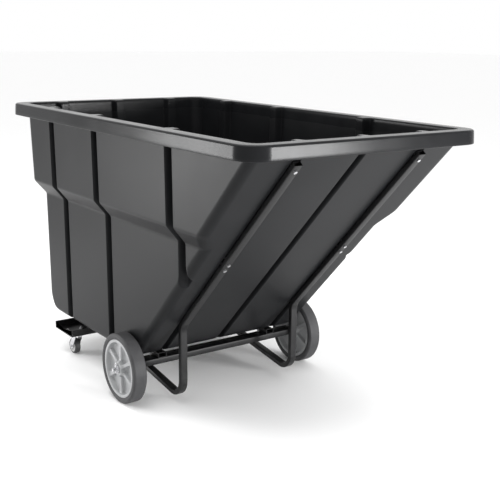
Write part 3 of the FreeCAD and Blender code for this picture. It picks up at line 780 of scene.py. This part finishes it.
def bent(points: Sequence[Array], radii: Sequence[float]) -> Array:
    """Centreline through points with each inner corner turned into a true arc.

    The arc's centre lies on the corner's bisector, the radius over the sine of half the corner's
    angle away from the corner.

    Args:
        points: corners in the XZ plane.
        radii: radius at each inner corner.

    Returns:
        Points by 2.
    """
    path = [points[0]]
    for before, here, after, radius in zip(points, points[1:], points[2:], radii):
        u = (before - here) / np.linalg.norm(before - here)
        w = (after - here) / np.linalg.norm(after - here)
        half = math.acos(float(u @ w)) / 2
        reach = radius / math.tan(half)
        middle = (u + w) / np.linalg.norm(u + w)
        centre = here + middle * radius / math.sin(half)
        first, last = here + u * reach - centre, here + w * reach - centre
        a0, a1 = math.atan2(first[1], first[0]), math.atan2(last[1], last[0])
        turn = (a1 - a0 + math.pi) % (2 * math.pi) - math.pi
        path += list(arc_points(centre, radius, a0, a0 + turn, 14))
    return np.array(path + [points[-1]])


@dataclass
class Frame:
    """The tubular frame under the hopper; in mm."""

    hopper: Hopper
    y: float = 291.03
    width: float = 33.0
    thick: float = 21.0
    wall: float = 2.0
    corner: float = 3.2
    leg_x: float = 177.57
    foot_r: float = 66.0
    knee_r: float = 70.0
    join_r: float = 120.0
    foot_lift: float = 40.0
    top_drop: float = 72.0
    rear_z: float = 159.5
    rear_x: float = -792.0
    join_x: float = -574.0
    cross_x: tuple[float, float] = (-60.03, 4.97)
    cross_z: tuple[float, float] = (141.8, 170.0)
    cross_half: float = 429.5
    cross_corner: float = 4.0
    end_soft: float = 1.2          # by which the axle tube's closed ends are softened
    rail_width: float = 40.0
    rail_z: tuple[float, float] = (170.0, 193.0)
    channel_x: tuple[float, float] = (-792.0, -598.0)
    channel_z: tuple[float, float] = (116.0, 149.0)
    channel_half: float = 442.0
    channel_wall: float = 3.0

    def path(self) -> Array:
        """Centreline of one frame tube in the XZ plane, from under the rim to the rear channel.

        Returns:
            Points by 2.
        """
        h = self.hopper
        top_z = h.rim_top - self.top_drop
        normal = np.array([math.sin(h.slope), -math.cos(h.slope)])
        on_face = np.array([h.face_x - (h.face_z - top_z) / math.tan(h.slope), top_z])
        top = on_face + normal * self.thick / 2
        knee = np.array([self.leg_x, top[1] - (top[0] - self.leg_x) * math.tan(h.slope)])
        centre = np.array([self.leg_x - self.foot_r,
                           self.foot_lift + self.thick / 2 + self.foot_r])
        join = np.array([self.join_x, self.rear_z])
        reach = join - centre
        tilt = math.atan2(reach[1], -reach[0]) + math.asin(self.foot_r / np.linalg.norm(reach))
        upper = bent([top, knee, np.array([self.leg_x, centre[1]])], [self.knee_r])
        foot = arc_points(centre, self.foot_r, 0.0, -np.pi / 2 - tilt, 28)
        lower = bent([foot[-1], join, np.array([self.rear_x, self.rear_z])], [self.join_r])
        return np.concatenate([upper[:-1], foot, lower[1:]])

    def tube(self, path: Array, width: float, thick: float, y: float) -> Surface:
        """Rectangular tube along a path in the XZ plane, open at both ends.

        Every ring is the rounded profile set on the path's normal (the tangent turned a quarter)
        and on Y; the outer rings run one way and the inner rings run back.

        Args:
            path: centreline.
            width: size along Y.
            thick: size across the path.
            y: middle along Y.

        Returns:
            The closed grid.
        """
        step = np.gradient(path, axis=0)
        tangent = step / np.linalg.norm(step, axis=1)[:, None]
        normal = np.stack([-tangent[:, 1], tangent[:, 0]], -1)

        def rings(w: float, t: float, c: float) -> Array:
            """Rings w wide and t thick with corners of radius c."""
            profile = round_rect(w, t, c)
            xz = path[:, None, :] + normal[:, None, :] * profile[None, :, 1:2]
            ys = np.broadcast_to(profile[:, 0] + y, xz.shape[:2])
            return np.stack([xz[..., 0], ys, xz[..., 1]], -1)

        outer = rings(width, thick, self.corner)
        inner = rings(width - 2 * self.wall, thick - 2 * self.wall,
                      max(self.corner - self.wall, 0.8))
        return Surface(np.concatenate([outer, inner[::-1]]), True)

    def cross_tube(self) -> Surface:
        """Axle tube: a rounded bar along Y with closed, softened ends.

        Returns:
            The closed grid.
        """
        (x0, x1), (z0, z1) = self.cross_x, self.cross_z
        middle = np.array([(x0 + x1) / 2, (z0 + z1) / 2])
        whole, less = (round_rect(x1 - x0 - 2 * cut, z1 - z0 - 2 * cut, self.cross_corner) + middle
                       for cut in (0.0, self.end_soft))
        half, inner = self.cross_half, self.cross_half - self.end_soft
        return extrude([less, whole, whole, whole, less], [-half, -inner, 0.0, inner, half])

    def channel(self) -> Surface:
        """Rear channel: a U of bent plate with its flanges up, swept along Y.

        Returns:
            The closed grid.
        """
        (x0, x1), (z0, z1), t = self.channel_x, self.channel_z, self.channel_wall
        profile = rounded_profile([(x0, z0, 5.0), (x1, z0, 5.0), (x1, z1, 0.8), (x1 - t, z1, 0.8),
                                   (x1 - t, z0 + t, 2.5), (x0 + t, z0 + t, 2.5),
                                   (x0 + t, z1, 0.8), (x0, z1, 0.8)])
        shares = np.array([-1.0, -0.9985, 0.9985, 1.0])
        return extrude([profile] * len(shares), shares * self.channel_half)

    def build(self, shop: "Workshop") -> None:
        """Make the bent tubes, the rails, the axle tube and the channel.

        Args:
            shop: where the pieces are put together.
        """
        path = self.path()
        low, high = self.rail_z
        rail = np.array([[x, (low + high) / 2]
                         for x in (self.rear_x, self.rear_x / 2, self.cross_x[1])])
        for side in Side:
            y = self.y * side.value
            shop.piece(side.prefix + "bent_tube", self.tube(path, self.width, self.thick, y),
                       "truck", Slot.PAINT, side.prefix + "frame_tube", hard=40)
            shop.piece(side.prefix + "floor_rail", self.tube(rail, self.rail_width, high - low, y),
                       "truck", Slot.PAINT, side.prefix + "rail", hard=40)
        shop.piece("axle_tube", self.cross_tube(), "truck", Slot.PAINT, "cross_tube", hard=40)
        shop.piece("rear_channel", self.channel(), "truck", Slot.PAINT, "caster_channel", hard=40)


# ---- shader maths ---------------------------------------------------------------------------
class Value:
    """A float or vector socket that takes part in arithmetic."""

    def __init__(self, graph: "Graph", socket: bpy.types.NodeSocket) -> None:
        """Keep the socket and the graph it is in."""
        self.graph = graph
        self.socket = socket

    def _math(self, operation: str, *terms: "Value | float", clamp: bool = False) -> "Value":
        """Result of a Math node.

        Args:
            operation: what it works out.
            terms: its inputs in order.
            clamp: True to hold the result between 0 and 1.

        Returns:
            The node's output.
        """
        node = self.graph.node("ShaderNodeMath", dict(enumerate(terms)), operation=operation,
                               use_clamp=clamp)
        return Value(self.graph, node.outputs[0])

    def __add__(self, other: "Value | float") -> "Value":
        """Sum."""
        return self._math("ADD", self, other)

    def __radd__(self, other: float) -> "Value":
        """Sum with a number first."""
        return self._math("ADD", other, self)

    def __sub__(self, other: "Value | float") -> "Value":
        """Difference."""
        return self._math("SUBTRACT", self, other)

    def __rsub__(self, other: float) -> "Value":
        """A number less this."""
        return self._math("SUBTRACT", other, self)

    def __mul__(self, other: "Value | float") -> "Value":
        """Product."""
        return self._math("MULTIPLY", self, other)

    def __rmul__(self, other: float) -> "Value":
        """Product with a number first."""
        return self._math("MULTIPLY", other, self)

    def __truediv__(self, other: "Value | float") -> "Value":
        """Quotient."""
        return self._math("DIVIDE", self, other)

    def __rtruediv__(self, other: float) -> "Value":
        """A number over this."""
        return self._math("DIVIDE", other, self)

    def __pow__(self, other: "Value | float") -> "Value":
        """Power."""
        return self._math("POWER", self, other)

    def held(self) -> "Value":
        """The value held between 0 and 1."""
        return self._math("ADD", self, 0.0, clamp=True)

    def step(self, low: float, high: float) -> "Value":
        """Smooth rise from 0 at low to 1 at high.

        Args:
            low: where it starts.
            high: where it ends.

        Returns:
            The rise.
        """
        node = self.graph.node("ShaderNodeMapRange",
                               {"Value": self, "From Min": low, "From Max": high},
                               interpolation_type="SMOOTHSTEP")
        return Value(self.graph, node.outputs[0])


class Graph:
    """Node tree of one material."""

    def __init__(self, name: str) -> None:
        """Make an empty material with its output and principled shader."""
        self.material = bpy.data.materials.new(name)
        self.material.use_nodes = True
        self.tree = self.material.node_tree
        self.tree.nodes.clear()
        self.shader = self.node("ShaderNodeBsdfPrincipled")
        output = self.node("ShaderNodeOutputMaterial")
        self.tree.links.new(self.shader.outputs[0], output.inputs[0])
        self.coords = self.node("ShaderNodeTexCoord").outputs["Object"]

    def node(self, kind: str, terms: dict[str | int, object] | None = None,
             **settings: object) -> bpy.types.Node:
        """Any node.

        Args:
            kind: its type.
            terms: values or links of its sockets, by name or number.
            settings: its settings, which are set first.

        Returns:
            The node.
        """
        node = self.tree.nodes.new(kind)
        for name, value in settings.items():
            setattr(node, name, value)
        for socket, term in (terms or {}).items():
            self.feed(node.inputs[socket], term)
        return node

    def feed(self, slot: bpy.types.NodeSocket, term: object) -> None:
        """Link a socket or value into a slot, or set a constant on it.

        Args:
            slot: the input.
            term: a socket, a value or a constant.
        """
        if isinstance(term, Value):
            term = term.socket
        if isinstance(term, bpy.types.NodeSocket):
            self.tree.links.new(term, slot)
        else:
            slot.default_value = term

    def noise(self, scale: float, detail: float, rough: float) -> Value:
        """Noise from 0 to 1.

        Args:
            scale: features per metre.
            detail: octaves.
            rough: share of the finer octaves.

        Returns:
            The noise.
        """
        node = self.node("ShaderNodeTexNoise", {"Vector": self.coords, "Scale": scale,
                                                "Detail": detail, "Roughness": rough})
        return Value(self, node.outputs["Fac"])

    def height(self) -> Value:
        """Height above the floor at rest, in metres."""
        return Value(self, self.node("ShaderNodeSeparateXYZ", {0: self.coords}).outputs[2])

    def mixed(self, share: Value, a: object, b: object) -> bpy.types.NodeSocket:
        """Colour a where share is 0 and b where it is 1."""
        node = self.node("ShaderNodeMix", {"Factor": share, 6: a, 7: b}, data_type="RGBA")
        return node.outputs[2]

    def bump(self, layers: Sequence[tuple[Value, float]]) -> None:
        """Stack bump layers on the shader's normal.

        Args:
            layers: each a height from 0 to 1 and its depth in metres.
        """
        normal = None
        for value, depth in layers:
            terms = {"Strength": 1.0, "Distance": depth, "Height": value}
            if normal is not None:
                terms["Normal"] = normal
            normal = self.node("ShaderNodeBump", terms).outputs[0]
        self.feed(self.shader.inputs["Normal"], normal)


DUST = (0.30, 0.29, 0.28, 1.0)


@dataclass(frozen=True)
class Finish:
    """How one material looks; colours are linear, depths in metres, scales in features a metre."""

    name: str
    dark: tuple[float, float, float]
    light: tuple[float, float, float]
    rough: tuple[float, float]
    mottle: float
    grain: float
    grain_depth: float
    wave: float = 0.0
    wave_depth: float = 0.0
    metallic: float = 0.0
    specular: float = 0.5
    dust: float = 0.0
    dust_below: float = 0.3
    polished_above: float = 0.0    # height past which the surface is smoother; 0 for none
    polish: float = 0.15           # roughness lost there
    polish_band: float = 0.02      # height over which it changes
    patch_share: float = 0.65      # of the broad patches in the roughness; the rest is grain
    dusty_rough: float = 0.4       # roughness gained under full dust

    def build(self) -> bpy.types.Material:
        """Node material of this finish.

        Returns:
            The material.
        """
        g = Graph(self.name)
        cloud = g.noise(self.mottle, 5.0, 0.6)
        grain = g.noise(self.grain, 3.0, 0.55)
        patch = cloud.step(0.3, 0.7)
        colour = g.mixed(patch, (*self.dark, 1.0), (*self.light, 1.0))
        low, high = self.rough
        grain_share = 1.0 - self.patch_share
        rough = low + (high - low) * (self.patch_share * patch + grain_share * grain)
        if self.polished_above > 0:
            top = self.polished_above + self.polish_band
            rough = rough - self.polish * g.height().step(self.polished_above, top)
        if self.dust > 0:
            speck = g.noise(self.mottle * 9.0, 6.0, 0.7).step(0.42, 0.75)
            settle = (1.0 - g.height().step(0.0, self.dust_below)) * speck * self.dust
            colour = g.mixed(settle.held(), colour, DUST)
            rough = (rough + settle * self.dusty_rough).held()
        for socket, term in (("Base Color", colour), ("Roughness", rough),
                             ("Metallic", self.metallic), ("Specular IOR Level", self.specular)):
            g.feed(g.shader.inputs[socket], term)
        layers = [(grain, self.grain_depth)]
        if self.wave_depth > 0:
            layers.insert(0, (g.noise(self.wave, 1.0, 0.4), self.wave_depth))
        g.bump(layers)
        return g.material


class Slot(Enum):
    """Material slots of the record, each with its finish."""

    POLYETHYLENE = Finish("black_polyethylene", (0.0065, 0.0068, 0.0075), (0.0100, 0.0103, 0.0112),
                          (0.31, 0.40), 3.0, 420.0, 0.00010, 2.2, 0.0022, specular=0.10,
                          dust=0.03, dust_below=0.5, polished_above=1.148)
    PAINT = Finish("frame_paint", (0.004, 0.004, 0.0045), (0.007, 0.007, 0.0075), (0.34, 0.46),
                   8.0, 700.0, 0.00006, 30.0, 0.00015, specular=0.3, dust=0.08, dust_below=0.25)
    ZINC = Finish("zinc_steel", (0.50, 0.50, 0.51), (0.66, 0.66, 0.68), (0.22, 0.38), 60.0,
                  900.0, 0.00003, metallic=1.0)
    HUB = Finish("wheel_centre", (0.27, 0.275, 0.28), (0.33, 0.335, 0.34), (0.28, 0.40), 9.0,
                 500.0, 0.00005, specular=0.55, dust=0.12, dust_below=0.3)
    TYRE = Finish("grey_tyre", (0.036, 0.036, 0.038), (0.052, 0.052, 0.054), (0.50, 0.66), 14.0,
                  520.0, 0.00012, specular=0.25, dust=0.15, dust_below=0.12)
    BUSHING = Finish("bushing", (0.62, 0.61, 0.57), (0.70, 0.69, 0.66), (0.3, 0.4), 20.0, 400.0,
                     0.00003)
    CASTER_CORE = Finish("caster_centre", (0.36, 0.36, 0.36), (0.44, 0.44, 0.44), (0.35, 0.5), 25.0,
                         500.0, 0.00004)
    CASTER_TREAD = Finish("caster_rubber", (0.020, 0.020, 0.021), (0.032, 0.032, 0.033),
                          (0.45, 0.6), 20.0, 600.0, 0.00008, dust=0.3, dust_below=0.04)


# ---- assembly -------------------------------------------------------------------------------
class Workshop:
    """Puts every visible piece on its body with its finish."""

    def __init__(self, nodes: dict[str, bpy.types.Object], record: dict) -> None:
        """Build the materials.

        Args:
            nodes: CAD nodes by name.
            record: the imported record, for each node's material slot.
        """
        self.nodes = nodes
        self.materials = {s.value.name: s.value.build() for s in Slot}
        self.slot_of = {p["node"]: p["material_slot"] for p in record["subparts"]}
        self.replaced: set[str] = set()

    def piece(self, name: str, surface: Surface, body: str, slot: Slot, *replaces: str,
              hard: float = 0.0) -> bpy.types.Object:
        """Add one piece that rides on a body.

        Args:
            name: object name.
            surface: its grid.
            body: CAD body it moves with.
            slot: material slot.
            replaces: CAD nodes it stands for.
            hard: angle in degrees past which an edge is shaded sharp; 0 keeps all smooth.

        Returns:
            The object.
        """
        mesh = surface.mesh(name)
        obj = bpy.data.objects.new(name, mesh)
        bpy.context.scene.collection.objects.link(obj)
        mesh.materials.append(self.materials[slot.value.name])
        if hard > 0:
            mesh.set_sharp_from_angle(angle=math.radians(hard))
        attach(obj, body)
        if replaces:
            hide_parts(*replaces)
            self.replaced |= set(replaces)
        LOG.info("%s: %d faces on %s", name, len(mesh.polygons), body)
        return obj

    def keep_cad(self) -> None:
        """Give every CAD node that is still shown its finish."""
        for name, obj in self.nodes.items():
            if name in self.replaced:
                continue
            material = self.materials[self.slot_of[name]]
            obj.data.materials.clear()
            obj.data.materials.append(material)
            LOG.info("%s keeps its CAD shape", name)


# ---- studio ---------------------------------------------------------------------------------
@dataclass(frozen=True)
class Softbox:
    """A rectangular light: where it is, what it faces, its size and power."""

    name: str
    place: tuple[float, float, float]
    target: tuple[float, float, float]
    size: tuple[float, float]
    power: float


SOFTBOXES = (
    Softbox("side_panel", (-2.5, -2.75, 0.85), (0.85, -0.55, 1.0), (0.9, 1.5), 60.0),
    Softbox("front_panel", (4.2, 2.0, 0.85), (1.0, -0.45, 1.1), (0.8, 1.5), 240.0),
    Softbox("overhead", (0.0, -0.6, 5.0), (0.0, 0.0, 0.0), (5.0, 4.0), 170.0),
)


def studio() -> None:
    """Pale floor, even surroundings and soft lights."""
    scene = bpy.context.scene
    world = bpy.data.worlds.new("surroundings")
    world.use_nodes = True
    back = world.node_tree.nodes["Background"]
    back.inputs["Color"].default_value = (1.0, 1.0, 1.0, 1.0)
    back.inputs["Strength"].default_value = 1.0
    scene.world = world
    scene.view_settings.view_transform = "Standard"
    mesh = bpy.data.meshes.new("floor")
    reach = 60.0
    corners = [(-reach, -reach, 0), (reach, -reach, 0), (reach, reach, 0), (-reach, reach, 0)]
    mesh.from_pydata(corners, [], [(0, 1, 2, 3)])
    floor = bpy.data.objects.new("floor", mesh)
    scene.collection.objects.link(floor)
    g = Graph("pale_floor")
    g.feed(g.shader.inputs["Base Color"], (0.97, 0.97, 0.97, 1.0))
    g.feed(g.shader.inputs["Roughness"], 0.85)
    g.feed(g.shader.inputs["Specular IOR Level"], 0.1)
    mesh.materials.append(g.material)
    for box in SOFTBOXES:
        light = bpy.data.lights.new(box.name, "AREA")
        light.shape = "RECTANGLE"
        light.size, light.size_y = box.size
        light.energy = box.power
        obj = bpy.data.objects.new(box.name, light)
        obj.location = box.place
        aim = Vector(box.target) - Vector(box.place)
        obj.rotation_euler = aim.to_track_quat("-Z", "Y").to_euler()
        scene.collection.objects.link(obj)
        LOG.info("light %s, %.0f W", box.name, box.power)


@dataclass(frozen=True)
class Viewpoint:
    """The camera: its lens in mm, its shift as a share of the frame, its place and its axes."""

    sensor: float = 36.0
    lens: float = 65.34
    shift: tuple[float, float] = (-0.032, -0.0008)
    far_end: float = 200.0
    place: tuple[float, float, float] = (3.2809, -2.1552, 1.5549)
    right: tuple[float, float, float] = (0.59070, 0.80676, 0.01465)
    up: tuple[float, float, float] = (-0.19598, 0.12583, 0.97250)
    forward: tuple[float, float, float] = (-0.78273, 0.57732, -0.23244)

    def build(self) -> None:
        """Put the camera in the scene, at the front corner of the truck's right side."""
        data = bpy.data.cameras.new("camera")
        data.sensor_width = self.sensor
        data.lens = self.lens
        data.shift_x, data.shift_y = self.shift
        data.clip_end = self.far_end
        obj = bpy.data.objects.new("camera", data)
        axes = (Vector(self.right), Vector(self.up), -Vector(self.forward))
        obj.matrix_world = Matrix.Translation(self.place) @ Matrix(axes).transposed().to_4x4()
        bpy.context.scene.collection.objects.link(obj)
        bpy.context.scene.camera = obj


def main() -> None:
    """Build the whole scene."""
    logging.basicConfig(level=logging.INFO)
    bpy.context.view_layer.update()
    shop = Workshop(frame["nodes"], frame["record"])
    hopper = Hopper()
    for assembly in (hopper, Frame(hopper), BigWheels(), CasterWheels()):
        assembly.build(shop)
    shop.keep_cad()
    studio()
    Viewpoint().build()


if __name__ == "__main__":
    main()
